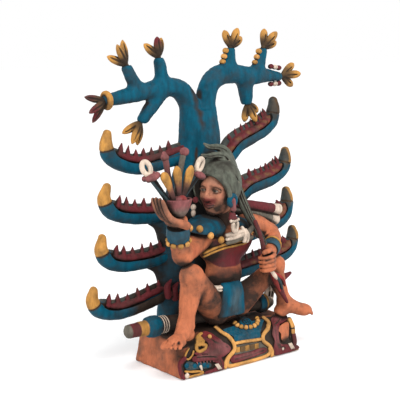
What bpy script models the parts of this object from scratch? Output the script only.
"""Clay tree of life: a forked tree with eight toothed jaws, a seated lord with an offering
bowl and a staff, and a carved block base.  Every rolled, turned or cut piece of clay is its
own object, pressed onto its neighbours with a hair-line gap.

Millimetres in the tables below, metres in the scene.  +Z is up, the lord sits on the -Y side
and the centre of the base's underside is the world origin."""

import bmesh
import bpy
from math import cos, pi, radians, sin
from mathutils import Matrix, Vector

MM = 0.001
GAP = 0.35                # hair line left between two pieces of clay
REACH = 1.0               # pieces farther apart than this are left alone
SEAM = 0.00002            # metres: edges shorter than this are slivers of a seam

# Driving dimensions of the base block and of the tree's plane
BASE_WIDTH = 180.0
BASE_DEPTH = 91.0
BASE_HEIGHT = 42.0
END_SLOPE = 7.0           # how far each end leans in at the top
BROW_Y = -36.0            # the carved front leans back to this edge...
BROW_Z = 33.0
CREST_Y = -22.0           # ...and rolls over the brow to the seat here
BACK_SLOPE = 2.5
TREE_Y = 33.0             # plane of the trunk, the branches and the jaws
FRONT_BOTTOM_Y = -BASE_DEPTH / 2
RELIEF = 3.2              # thickness of the clay laid on the front

PALETTE = {
    "teal": (0.008, 0.085, 0.13),
    "ochre": (0.56, 0.32, 0.10),
    "maroon": (0.16, 0.035, 0.045),
    "skin": (0.55, 0.17, 0.075),
    "hair": (0.09, 0.10, 0.085),
    "cream": (0.74, 0.62, 0.50),
    "umber": (0.10, 0.045, 0.03),
}
ROUGHNESS = 0.62


def clear_scene():
    for item in list(bpy.data.objects):
        bpy.data.objects.remove(item, do_unlink=True)


def painted(name, colour):
    material = bpy.data.materials.new(name + "_paint")
    material.use_nodes = True
    shader = material.node_tree.nodes["Principled BSDF"]
    shader.inputs["Base Color"].default_value = (*PALETTE[colour], 1.0)
    shader.inputs["Roughness"].default_value = ROUGHNESS
    shader.inputs["Metallic"].default_value = 0.0
    return material


# ---------------------------------------------------------------- shapes

def skin(bm, rings):
    """Closes a row of rings of points into one solid; a ring of one point is a pole."""
    rows = [[bm.verts.new(point) for point in ring] for ring in rings]
    for low, high in zip(rows, rows[1:]):
        count = max(len(low), len(high))
        for i in range(count):
            j = (i + 1) % count
            if len(low) == 1:
                bm.faces.new((low[0], high[j], high[i]))
            elif len(high) == 1:
                bm.faces.new((low[i], low[j], high[0]))
            else:
                bm.faces.new((low[i], low[j], high[j], high[i]))
    for end in (rows[0], rows[-1]):
        if len(end) > 2:
            bm.faces.new(end)
    bmesh.ops.recalc_face_normals(bm, faces=bm.faces)
    return bm


def curve_through(points, steps):
    """Catmull-Rom through rows of numbers, each row a place followed by its radii."""
    rows = [Vector(point) for point in points]
    rows = [2 * rows[0] - rows[1]] + rows + [2 * rows[-1] - rows[-2]]
    out = []
    for a, b, c, d in zip(rows, rows[1:], rows[2:], rows[3:]):
        for step in range(steps):
            t = step / steps
            out.append(0.5 * (2 * b + (c - a) * t + (2 * a - 5 * b + 4 * c - d) * t ** 2
                              + (3 * b - a - 3 * c + d) * t ** 3))
    out.append(rows[-2])
    return out


def roll(points, sides=8, steps=2, across=(0, 1, 0), round_ends=True):
    """A hand-rolled coil.  Each point is x, y, z and one radius, or an in-plane radius and a
    radius along the vector across."""
    rows = curve_through([p if len(p) == 5 else (*p, p[3]) for p in points], steps)
    wide = Vector(across).normalized()
    rings = []
    for i, row in enumerate(rows):
        ahead = rows[min(i + 1, len(rows) - 1)].to_tuple()[:3]
        behind = rows[max(i - 1, 0)].to_tuple()[:3]
        along = (Vector(ahead) - Vector(behind)).normalized()
        side = along.cross(wide).normalized()
        depth = side.cross(along).normalized()
        ends = [(0.0, 1.0)]
        if round_ends and i in (0, len(rows) - 1):
            sign = -1 if i == 0 else 1
            ends = [(0.0, 1.0), (0.6 * sign, 0.8), (1.0 * sign, 0.0)]
            ends = ends[::sign]
        centre = Vector(row.to_tuple()[:3])
        for shift, scale in ends:
            middle = centre + along * shift * row[3]
            if scale == 0.0:
                rings.append([middle])
                continue
            rings.append([middle + side * cos(2 * pi * k / sides) * row[3] * scale
                          + depth * sin(2 * pi * k / sides) * row[4] * scale
                          for k in range(sides)])
    return skin(bmesh.new(), rings)


def turned(profile, place, sides=12, axis=(0, 0, 1)):
    """A turned piece: rows of radius and height along the axis, poles where radius is 0."""
    spin = Vector((0, 0, 1)).rotation_difference(Vector(axis)).to_matrix()
    rings = []
    for radius, height in profile:
        count = sides if radius > 0 else 1
        rings.append([Vector(place) + spin @ Vector((radius * cos(2 * pi * k / sides),
                                                      radius * sin(2 * pi * k / sides), height))
                      for k in range(count)])
    return skin(bmesh.new(), rings)


def ball(place, radii, turn=0.0, lean=0.0, segments=10, rings=7):
    """An egg of clay, turned about Z and then leaned about Y, both in degrees."""
    size = radii if isinstance(radii, tuple) else (radii, radii, radii)
    matrix = (Matrix.Translation(place) @ Matrix.Rotation(radians(turn), 4, "Z")
              @ Matrix.Rotation(radians(lean), 4, "Y") @ Matrix.Diagonal((*size, 1)))
    bm = bmesh.new()
    bmesh.ops.create_uvsphere(bm, u_segments=segments, v_segments=rings, radius=1.0, matrix=matrix)
    return bm


def spike(place, direction, length, radius, sides=5):
    """A pointed tooth, its foot sunk in the gum."""
    spin = Vector((0, 0, 1)).rotation_difference(Vector(direction)).to_matrix().to_4x4()
    matrix = Matrix.Translation(place) @ spin @ Matrix.Translation((0, 0, length / 2))
    bm = bmesh.new()
    bmesh.ops.create_cone(bm, cap_ends=True, segments=sides, radius1=radius,
                          radius2=radius * 0.15, depth=length, matrix=matrix)
    return bm


FRONT = Vector((0, BROW_Y - FRONT_BOTTOM_Y, BROW_Z))
BROW = Vector((0, CREST_Y - BROW_Y, BASE_HEIGHT - BROW_Z))
BEND = FRONT.length       # distance up the front to the brow's edge


def on_front(u, v, proud=0.0):
    """World place of a point of the carved front: u along X, v up the slope and over the
    brow, and proud of the surface."""
    outs = [Vector((0, -edge.z, edge.y)).normalized() for edge in (FRONT, BROW)]
    corner = Vector((u, BROW_Y, BROW_Z))
    if abs(v - BEND) < 0.01:
        middle = (outs[0] + outs[1]).normalized()
        return corner + middle * proud / middle.dot(outs[0])
    edge, out = (FRONT, outs[0]) if v < BEND else (BROW, outs[1])
    return corner + edge.normalized() * (v - BEND) + out * proud


def slab(outline, thickness):
    """A plate of even thickness cut to an outline of (u, v) points and laid on the front."""
    bm = bmesh.new()
    face = bm.faces.new([bm.verts.new((u, v, GAP)) for u, v in outline])
    raised = bmesh.ops.extrude_face_region(bm, geom=[face])["geom"]
    lifted = [item for item in raised if isinstance(item, bmesh.types.BMVert)]
    bmesh.ops.translate(bm, vec=(0, 0, thickness), verts=lifted)
    bmesh.ops.bisect_plane(bm, geom=bm.verts[:] + bm.edges[:] + bm.faces[:],
                           plane_co=(0, BEND, 0), plane_no=(0, 1, 0))
    bmesh.ops.triangulate(bm, faces=bm.faces)
    for vert in bm.verts:
        vert.co = on_front(*vert.co)
    bmesh.ops.recalc_face_normals(bm, faces=bm.faces)
    return bm


# ---------------------------------------------------------------- clay work

PIECES = []


def raw_object(name, bm):
    bmesh.ops.scale(bm, vec=(MM, MM, MM), verts=bm.verts)
    mesh = bpy.data.meshes.new(name)
    bm.to_mesh(mesh)
    bm.free()
    item = bpy.data.objects.new(name, mesh)
    bpy.context.scene.collection.objects.link(item)
    return item


def bake(item):
    """Replaces the object's mesh by its evaluated shape."""
    depsgraph = bpy.context.evaluated_depsgraph_get()
    shape = bpy.data.meshes.new_from_object(item.evaluated_get(depsgraph))
    item.modifiers.clear()
    item.data = shape


def combine(item, tools, operation):
    for tool in tools:
        step = item.modifiers.new(operation.lower(), "BOOLEAN")
        step.operation = operation
        step.solver = "EXACT"
        step.object = tool
    bake(item)
    for tool in tools:
        bpy.data.objects.remove(tool, do_unlink=True)


def grown(item):
    """A copy of the piece, fatter by the hair-line gap, at sharp edges too."""
    bm = bmesh.new()
    bm.from_mesh(item.data)
    bmesh.ops.triangulate(bm, faces=bm.faces)
    bmesh.ops.dissolve_degenerate(bm, edges=bm.edges, dist=SEAM)
    bm.normal_update()
    shifts = []
    for vert in bm.verts:
        lean = min(vert.normal.dot(face.normal) for face in vert.link_faces)
        shifts.append(vert.normal * GAP * MM / max(lean, 0.4))
    for vert, shift in zip(bm.verts, shifts):
        vert.co += shift
    mesh = bpy.data.meshes.new(item.name + "_print")
    bm.to_mesh(mesh)
    bm.free()
    copy = bpy.data.objects.new(item.name + "_print", mesh)
    bpy.context.scene.collection.objects.link(copy)
    return copy


def extent(item):
    places = [vert.co for vert in item.data.vertices]
    low = Vector([min(p[i] for p in places) for i in range(3)])
    high = Vector([max(p[i] for p in places) for i in range(3)])
    return low, high


def near(one, other):
    low_a, high_a = extent(one)
    low_b, high_b = extent(other)
    reach = REACH * MM
    return all(low_a[i] < high_b[i] + reach and low_b[i] < high_a[i] + reach for i in range(3))


def keep_largest(item):
    """Drops the crumbs and slivers that pressing may leave on the piece."""
    bm = bmesh.new()
    bm.from_mesh(item.data)
    bmesh.ops.triangulate(bm, faces=bm.faces)
    bmesh.ops.dissolve_degenerate(bm, edges=bm.edges, dist=SEAM)
    left = set(bm.verts)
    groups = []
    while left:
        stack = [left.pop()]
        group = set(stack)
        while stack:
            for edge in stack.pop().link_edges:
                for vert in edge.verts:
                    if vert in left:
                        left.discard(vert)
                        group.add(vert)
                        stack.append(vert)
        groups.append(group)
    biggest = max(groups, key=len)
    crumbs = [vert for vert in bm.verts if vert not in biggest]
    bmesh.ops.delete(bm, geom=crumbs, context="VERTS")
    bm.to_mesh(item.data)
    bm.free()


def piece(name, colour, *shapes):
    """Fuses the shapes into one body, presses it onto the pieces made before and paints it."""
    item = raw_object(name, shapes[0])
    extra = [raw_object(name + "_add", bm) for bm in shapes[1:]]
    if extra:
        combine(item, extra, "UNION")
    neighbours = [other for other in PIECES if near(item, other)]
    if neighbours:
        combine(item, [grown(other) for other in neighbours], "DIFFERENCE")
    keep_largest(item)
    for face in item.data.polygons:
        face.use_smooth = True
    item.data.materials.clear()
    item.data.materials.append(painted(name, colour))
    PIECES.append(item)
    return item


# ---------------------------------------------------------------- base

def base_block():
    half = BASE_WIDTH / 2
    back = BASE_DEPTH / 2
    profile = [(FRONT_BOTTOM_Y, 0), (BROW_Y, BROW_Z), (CREST_Y, BASE_HEIGHT),
               (back - BACK_SLOPE, BASE_HEIGHT), (back, 0)]
    ends = [[Vector((side * (half - END_SLOPE * z / BASE_HEIGHT), y, z)) for y, z in profile]
            for side in (-1, 1)]
    item = piece("base_block", "skin", skin(bmesh.new(), ends))
    for face in item.data.polygons:
        face.use_smooth = False


SERPENT = [(1, 5), (6, 1), (28, 1), (50, 3), (55, 12), (51, 21), (57, 29), (56, 40),
           (45, 47), (26, 48), (14, 44), (13, 30), (20, 21), (7, 17)]
WAVE = [(0, 50), (5, 42), (14, 30), (13, 19), (4, 11), (0, 3.2)]
PANEL = [(-20, 3), (42, 3), (42, 12), (37, 20), (38, 32), (44, 47), (-17, 47), (-8, 34), (-7, 20)]
DISC_U = 16.0
DISC_V = 45.0


def front_relief():
    piece("serpent_relief_left", "maroon", slab([(u - 87, v) for u, v in SERPENT], RELIEF))
    piece("serpent_relief_right", "maroon",
          slab([(86 - 0.62 * u, v) for u, v in reversed(SERPENT)], RELIEF))
    for name, start, sign in (("wavy_border_left", -26.0, 1.0), ("wavy_border_right", 50.0, -0.7)):
        points = [(*on_front(start + sign * u, v, 1.8), 2.3) for u, v in WAVE]
        piece(name, "ochre", roll(points, sides=6))
    piece("centre_panel", "teal", slab(PANEL, 2.0))
    outward = (0, -BROW.z, BROW.y)
    piece("water_disc", "teal", turned([(9, 0), (9, 2.6), (4, 4.2), (0, 4.4)],
                                       on_front(DISC_U, DISC_V, 2.0 + GAP), 12, outward))
    arc = []
    for k in range(9):
        angle = radians(185 + 21 * k)
        arc.append(ball(on_front(DISC_U + 12.5 * cos(angle), DISC_V - 1 + 10 * sin(angle), 4.0), 2.5,
                        segments=6, rings=4))
    piece("bead_arc", "ochre", *arc)


# ---------------------------------------------------------------- tree

LIMB_LEFT = [(-14, TREE_Y, 262, 11), (-18, TREE_Y, 298, 12), (-32, TREE_Y, 317, 11.5),
             (-55, TREE_Y, 321, 10.5), (-88, TREE_Y, 316, 9.5), (-114, TREE_Y, 312, 8),
             (-129, TREE_Y, 310, 6.5)]
LIMB_RIGHT = [(9, TREE_Y, 262, 11), (6, TREE_Y, 298, 12), (14, TREE_Y, 323, 12),
              (34, TREE_Y, 333, 12), (64, TREE_Y, 331, 10.5), (100, TREE_Y, 329, 8.5),
              (120, TREE_Y, 327, 5.5)]
TWIGS = {
    "left_outer": ((-92, 318, 7.5), (-106, 346, 6.0)),
    "left_inner": ((-57, 325, 9.0), (-62, 355, 6.2)),
    "left_under": ((-64, 311, 8.5), (-84, 287, 6.2)),
    "right_inner": ((42, 338, 10.0), (44, 362, 6.6)),
    "right_outer": ((86, 333, 8.5), (95, 361, 6.0)),
    "right_under": ((67, 321, 10.0), (70, 301, 7.0)),
}


def tree():
    column = roll([(-8, TREE_Y, 30, 55, 18), (-8, TREE_Y, 90, 56, 19), (-8, TREE_Y, 150, 53, 19),
                   (-5, TREE_Y, 200, 40, 19), (-3, TREE_Y, 240, 25, 19), (-3, TREE_Y, 268, 24, 18),
                   (-3, TREE_Y, 290, 19, 15)], sides=14, round_ends=False)
    shapes = [column, roll(LIMB_LEFT, sides=10), roll(LIMB_RIGHT, sides=10)]
    for (x0, z0, r0), (x1, z1, r1) in TWIGS.values():
        shapes.append(roll([(x0, TREE_Y, z0, r0), (x1, TREE_Y, z1, r1)], sides=8))
    piece("tree_trunk", "teal", *shapes)


JAWS = {
    "left_1": (1, [(-135, 279, 4.5), (-137, 263, 7.5), (-130, 247, 9), (-111, 237, 9),
                   (-86, 233, 9), (-56, 236, 9), (-16, 244, 9)]),
    "left_2": (1, [(-136, 219, 4.5), (-140, 203, 7.5), (-132, 189, 9), (-113, 179, 9),
                   (-76, 174, 9), (-48, 175, 9), (-16, 178, 9)]),
    "left_3": (1, [(-142, 162, 4.5), (-144, 145, 7.5), (-136, 131, 9), (-117, 123, 9),
                   (-79, 122, 9), (-48, 127, 9), (-16, 131, 9)]),
    "left_4": (1, [(-156, 102, 4.5), (-156, 86, 7.5), (-146, 74, 9), (-126, 68, 9),
                   (-97, 70, 9), (-56, 79, 9), (-16, 82, 9)]),
    "right_1": (-1, [(114, 302, 4.5), (114, 289, 7.5), (108, 270, 9), (92, 253, 9),
                     (68, 240, 9), (44, 225, 9), (8, 206, 9)]),
    "right_2": (-1, [(136, 238, 4.5), (136, 227, 7.5), (131, 215, 9), (114, 204, 9),
                     (88, 194, 9), (58, 186, 9), (8, 174, 9)]),
    "right_3": (-1, [(137, 190, 4.5), (137, 177, 7.5), (133, 164, 9), (126, 152, 9),
                     (112, 144, 9), (76, 134, 9), (8, 124, 9)]),
    "right_4": (-1, [(149, 136, 4.5), (149, 124, 7.5), (143, 113, 9), (133, 105, 9),
                     (115, 98, 9), (78, 92, 9), (8, 84, 9)]),
}
JAW_DEPTH = 10.0          # half depth of a jaw along Y
GUM_RISE = 8.0            # from a jaw's middle to its gum
GUM_Y = TREE_Y - 6.0      # the gum lies on the front half of the jaw, before its rim
TEETH = 6


def jaw(name, side, points):
    """The arm of a jaw is pressed onto the trunk at once; its gum and teeth are returned, to
    be laid on when all the arms stand."""
    path = [(x, TREE_Y, z, r, JAW_DEPTH if r > 5 else r) for x, z, r in points]
    piece("jaw_" + name, "teal", roll(path, sides=8))
    rows = curve_through([(x, z) for x, z, r in points[1:]], 4)
    gum = []
    for behind, here, ahead in zip(rows[:-5], rows[1:], rows[2:]):
        along = (ahead - behind).normalized()
        up = Vector((-along.y, along.x)) * side
        gum.append((here + up * GUM_RISE, up))
    strip = roll([(g.x, GUM_Y, g.y, 3.4, 4.2) for g, up in gum[::3]], sides=6, steps=1)
    teeth = []
    for k in range(TEETH):
        place, up = gum[2 + k * (len(gum) - 3) // TEETH]
        lean = (Vector((up.x, 0, up.y)) + Vector((0, 0, 1))).normalized()
        teeth.append(spike((place.x, GUM_Y, place.y), lean, 10.0, 3.0, sides=4))
    return "gum_" + name, [strip] + teeth


def jaws():
    gums = [jaw(name, side, points) for name, (side, points) in JAWS.items()]
    spur = [(0, TREE_Y, 56, 8), (60, TREE_Y, 62, 8), (120, TREE_Y, 66, 7), (146, TREE_Y, 73, 3)]
    piece("root_spur", "maroon", roll(spur))
    for name, shapes in gums:
        piece(name, "maroon", *shapes)


PETAL = (4.6, 3.4, 13.5)
FLOWERS = {
    "left_end": ("maroon", (-136, 309), -91, (-34, -4, 30)),
    "left_outer": ("ochre", (-107, 351), -28, (-38, -6, 18)),
    "left_inner": ("ochre", (-62.5, 360), -8, (-34, 0, 30)),
    "left_under": ("ochre", (-87, 283), -142, (-30, 0, 30)),
    "right_inner": ("ochre", (44, 367), 12, (-28, 0, 38)),
    "right_outer": ("ochre", (96, 366), 12, (-26, 2, 38)),
    "right_end": ("ochre", (128, 327), 90, (-42, -12, 22)),
    "right_under": ("ochre", (71, 297), 168, (-28, 2, 30)),
}


def flower(name, colour, neck, heading, spread):
    place = Vector((neck[0], TREE_Y, neck[1]))
    shapes = [ball(place, 4.0, segments=6, rings=5)]
    for k, angle in enumerate(spread):
        tilt = radians(heading + angle)
        along = Vector((sin(tilt), 0.4 * (k % 2) - 0.25, cos(tilt))).normalized()
        spin = Vector((0, 0, 1)).rotation_difference(along).to_matrix().to_4x4()
        matrix = Matrix.Translation(place + along * 14.5) @ spin @ Matrix.Diagonal((*PETAL, 1))
        bm = bmesh.new()
        bmesh.ops.create_uvsphere(bm, u_segments=6, v_segments=5, radius=1.0, matrix=matrix)
        shapes.append(bm)
    piece("flower_" + name, colour, *shapes)


def tree_trim():
    ring = [(-133, TREE_Y + 7.5 * cos(a), 309.5 + 7.5 * sin(a)) for a in
            (2 * pi * k / 12 for k in range(12))]
    rings = []
    for k, place in enumerate(ring):
        a = 2 * pi * k / 12
        out = Vector((0, cos(a), sin(a)))
        rings.append([Vector(place) + out * 3.4 * cos(b) + Vector((3.4 * sin(b), 0, 0))
                      for b in (2 * pi * j / 8 for j in range(8))])
    bm = bmesh.new()
    rows = [[bm.verts.new(point) for point in loop] for loop in rings]
    for k in range(12):
        low, high = rows[k], rows[(k + 1) % 12]
        for j in range(8):
            bm.faces.new((low[j], low[(j + 1) % 8], high[(j + 1) % 8], high[j]))
    bmesh.ops.recalc_face_normals(bm, faces=bm.faces)
    piece("branch_ring", "ochre", bm)
    for name, (x, z) in (("bead_row_inner", (31.5, 347)), ("bead_row_outer", (82, 345))):
        row = [ball((x + 3.0 * k, TREE_Y - 1, z + 6.2 * k), 3.7, segments=8, rings=5) for k in range(3)]
        piece(name, "ochre", *row)
    piece("seed_bar_upper", "maroon", roll([(107, TREE_Y - 2, 340, 3.0), (121, TREE_Y - 2, 338, 3.0)]))
    piece("seed_bar_lower", "maroon", roll([(107, TREE_Y - 2, 316.5, 3.0), (121, TREE_Y - 2, 317, 3.0)]))


# ---------------------------------------------------------------- ceremonial bar

BAR_Y = -6.0
BAR_Z = BASE_HEIGHT + 13.5
BAR_PROFILE = [(0, -136), (8.0, -135), (8.5, -118), (8.5, -112), (9.5, -111), (9.5, -104),
               (12.6, -102), (12.9, -90), (10.5, -87), (10.5, -78), (7.5, -76), (7.5, 60),
               (11.0, 62), (11.0, 71), (8.0, 73), (7.0, 79), (0, 81)]


def ceremonial_bar():
    staff = turned(BAR_PROFILE, (0, BAR_Y, BAR_Z), 12, (1, 0, 0))
    prongs = [roll([(76 + 3 * k, BAR_Y, BAR_Z + 3, 3.4), (74 + 5 * k, BAR_Y, BAR_Z + 22 - 2 * k, 1.8)],
                   sides=6) for k in range(3)]
    piece("ceremonial_bar", "umber", staff, *prongs)


# ---------------------------------------------------------------- the lord

HEAD = Vector((-12, -14, 203))
FACING = 201.0            # the face looks this way, in degrees about Z from +X
HAND = Vector((-93, -48, 182))
BOWL = Vector((-95, -50, 188.5))
FIST = Vector((33, -47, 119))


def toward(angle, reach):
    """A level step of the given length, at an angle from where the face looks."""
    return Vector((cos(radians(FACING + angle)), sin(radians(FACING + angle)), 0)) * reach


def torso():
    piece("torso", "skin",
          ball((4, -8, 68), (30, 17, 25), segments=12),
          ball((0, -10, 104), (23, 16, 26), segments=12),
          ball((3, -8, 138), (40, 18, 25), segments=12),
          roll([(2, -9, 150, 13), (-4, -11, 184, 11)], sides=10))


def head():
    piece("head", "skin",
          ball(HEAD, (20, 18, 26), turn=FACING, segments=12, rings=9),
          ball(HEAD + toward(0, 6) - Vector((0, 0, 17)), (11, 10, 9), turn=FACING),
          ball(HEAD + toward(0, 20) - Vector((0, 0, 2)), (4, 3.2, 7), turn=FACING, segments=8, rings=5))


def leg(name, hip, knee, ankle, toe):
    """A bent leg: thigh, shin and a foot flat on the base."""
    thigh = roll([(*hip, 16), (*((Vector(hip) + Vector(knee)) / 2), 15.5), (*knee, 13.5)], sides=10)
    mid = Vector(knee) * 0.55 + Vector(ankle) * 0.45
    shin = roll([(*(Vector(knee) - Vector((0, 0, 1))), 12.8), (mid.x, mid.y, mid.z, 12.5), (*ankle, 9.0)], sides=10)
    heel = Vector((ankle[0], ankle[1], BASE_HEIGHT + 6))
    front = Vector((toe[0], toe[1], BASE_HEIGHT + 5.5))
    step = (front - heel).normalized()
    foot = roll([(*(heel - step * 3), 7.5), (*((heel + front) / 2 + Vector((0, 0, 1))), 7.5, 9),
                 (*front, 5.0, 10)], sides=8, across=step.cross(Vector((0, 0, 1))))
    piece(name, "skin", thigh, shin, foot)


def legs():
    leg("right_leg", (-12, -11, 61), (-69, -39, 119), (-77, -38, 62), (-109, -55, 0))
    leg("left_leg", (20, -14, 62), (70, -34, 107), (79, -31, 58), (108, -48, 0))


def staff():
    piece("staff", "maroon", roll([(17, -50, 172, 3.0), (FIST.x, FIST.y, FIST.z, 3.4),
                                   (41, -49, 106, 3.4), (52, -52, 94, 7), (60, -53, 80, 6.5)], sides=8))


def arms():
    fingers = [roll([(HAND.x - 3, HAND.y - 9 + 5.5 * k, HAND.z + 1, 3.6),
                     (HAND.x - 17, HAND.y - 9 + 5.5 * k, HAND.z + 5, 3.2),
                     (HAND.x - 26, HAND.y - 9 + 5.5 * k, HAND.z + 15, 2.9),
                     (HAND.x - 30, HAND.y - 9 + 5.5 * k, HAND.z + 27, 2.4)], sides=6)
               for k in range(4)]
    palm = ball(HAND, (15, 12, 6), segments=8, rings=5)
    piece("right_arm", "skin",
          roll([(-32, -9, 152, 14), (-58, -22, 143, 12.5), (-78, -33, 141, 11.5)], sides=10),
          roll([(-78, -33, 141, 11.5), (-88, -40, 158, 10.5), (-93, -46, 182, 7.5)], sides=10,
               across=(1, 0.3, 0)), palm, *fingers)
    grip = [ball((FIST.x, FIST.y, FIST.z + 8 - 5.2 * k), (11, 10, 3.4), segments=8, rings=5)
            for k in range(4)]
    piece("left_arm", "skin",
          roll([(38, -4, 157, 13.5), (66, 0, 153, 12.5), (86, -2, 141, 11.5)], sides=10),
          roll([(86, -2, 141, 11.5), (68, -20, 134, 9.5), (46, -38, 127, 7.5)], sides=10), *grip)


def ear_ornament():
    ear = HEAD + toward(90, 20) - Vector((0, 0, 7))
    piece("ear_ornament", "teal",
          ball(ear, (7, 4.5, 9), turn=FACING),
          roll([(ear.x, ear.y, ear.z - 4, 4), (ear.x - 1, ear.y - 1, ear.z - 14, 4.5),
                (ear.x - 1, ear.y - 2, ear.z - 27, 3.5)], sides=8))


def hair():
    shell = ball(HEAD - toward(0, 5) + Vector((0, 0, 6)), (24, 22.5, 29), turn=FACING,
                 segments=12, rings=9)
    window = HEAD + toward(0, 24)
    cut = bmesh.new()
    matrix = (Matrix.Translation((window.x, window.y, window.z - 22))
              @ Matrix.Rotation(radians(FACING), 4, "Z") @ Matrix.Diagonal((34, 70, 70, 1)))
    bmesh.ops.create_cube(cut, size=1.0, matrix=matrix)
    helmet = raw_object("hair_shape", shell)
    combine(helmet, [raw_object("hair_window", cut)], "DIFFERENCE")
    trimmed = bmesh.new()
    trimmed.from_mesh(helmet.data)
    bmesh.ops.scale(trimmed, vec=(1 / MM, 1 / MM, 1 / MM), verts=trimmed.verts)
    bpy.data.objects.remove(helmet, do_unlink=True)
    crest_high = roll([(0, -6, 228, 9), (-5, -10, 242, 7), (-20, -15, 252, 4.5),
                       (-38, -20, 258, 2.0)], sides=8)
    crest_low = roll([(-8, -12, 228, 10), (-16, -16, 238, 7), (-30, -20, 245, 4.0),
                      (-44, -24, 247, 2.0)], sides=8)
    piece("hair", "hair", trimmed, crest_high, crest_low)
    lock = [(14, -13, 214, 5), (21, -18, 195, 5.5), (30, -24, 171, 5), (36, -34, 150, 4.2),
            (42, -38, 139, 2.5)]
    piece("hair_lock", "hair", roll(lock, sides=8, across=(0, 1, 0.2)))


def dress():
    cape = ball((-34, -14, 161), (27, 21, 13), turn=24, lean=-14, segments=12, rings=7)
    piece("shoulder_cape", "teal", cape)
    band = [(-38, -22, 142, 3.2, 2.6), (-20, -27, 134, 3.2, 2.6), (4, -29, 132, 3.2, 2.6),
            (26, -25, 137, 3.2, 2.6), (40, -14, 145, 3.2, 2.6)]
    piece("chest_band", "ochre", roll(band, sides=6))
    flap = [Vector((x, y, 99)) for x, y in ((-13, -33), (11, -33), (11, -28), (-13, -28))]
    hem = [Vector((x, y, 46)) for x, y in ((-16, -28), (12, -28), (12, -23), (-16, -23))]
    piece("loincloth", "teal", skin(bmesh.new(), [hem, flap]))
    piece("belt", "cream", roll([(-30, -24, 86, 3.6), (-20, -27, 91, 3.6), (-1, -29, 94, 3.6),
                                 (22, -24, 92, 3.2)], sides=8, across=(0, 0, 1)))
    for name, low, high, r in (("right_cuff", (-89.5, -42, 161), (-92.5, -45, 173), 13.0),
                               ("left_cuff", (63, -25, 132), (53, -33, 128.5), 11.0)):
        axis = Vector(high) - Vector(low)
        length = axis.length
        wall = [(6, 0), (r - 0.8, 0.5), (r, length / 2), (r - 1, length - 0.5), (6, length)]
        piece(name, "teal", turned(wall, low, 12, axis.normalized()))


def regalia():
    cup = [(0, 0), (7, 0.6), (11.5, 7), (15.5, 18), (13, 18), (9, 8), (0, 4)]
    piece("bowl", "maroon", turned(cup, BOWL, 12))
    heart = BOWL + Vector((0, 0, 9))
    sticks = [ball(heart + Vector((0, 0, 4)), (10, 10, 7), segments=8, rings=5)]
    for tip, radius, head_radius in (((-131, -53, 235), 2.8, 5.0), ((-114, -50, 251), 2.3, 4.4),
                                     ((-95, -47, 257), 2.3, 5.0), ((-70, -47, 236), 2.8, 5.0)):
        sticks.append(roll([(*(heart + Vector((0, 0, 2))), radius), (*tip, radius)], sides=6))
        sticks.append(ball(tip, head_radius, segments=8, rings=5))
    for tip in ((-111, -54, 237), (-92, -56, 239), (-76, -54, 236)):
        sticks.append(roll([(*heart, 3.0), (*((heart + Vector(tip)) / 2), 4.0), (*tip, 4.2)], sides=6))
    for place in ((-137, -53, 245), (-64, -46, 247)):
        sticks.append(ball(place, (6.5, 3.5, 9), segments=8, rings=5))
    piece("offering", "cream", *sticks)
    piece("scroll_bundle", "maroon",
          roll([(18, 5, 188, 6.8), (104, 8, 173, 6.8)], sides=8),
          roll([(20, 6, 176, 6.8), (98, 8, 160, 6.8)], sides=8))
    piece("knot_bundle", "cream", roll([(-14, -33, 149, 5), (2, -36, 153, 6.5), (15, -34, 152, 5)],
                                       sides=8))


def build():
    clear_scene()
    base_block()
    front_relief()
    tree()
    ceremonial_bar()
    jaws()
    torso()
    head()
    legs()
    staff()
    arms()
    ear_ornament()
    hair()
    dress()
    regalia()
    tree_trim()
    for name, (colour, neck, heading, spread) in FLOWERS.items():
        flower(name, colour, neck, heading, spread)


build()
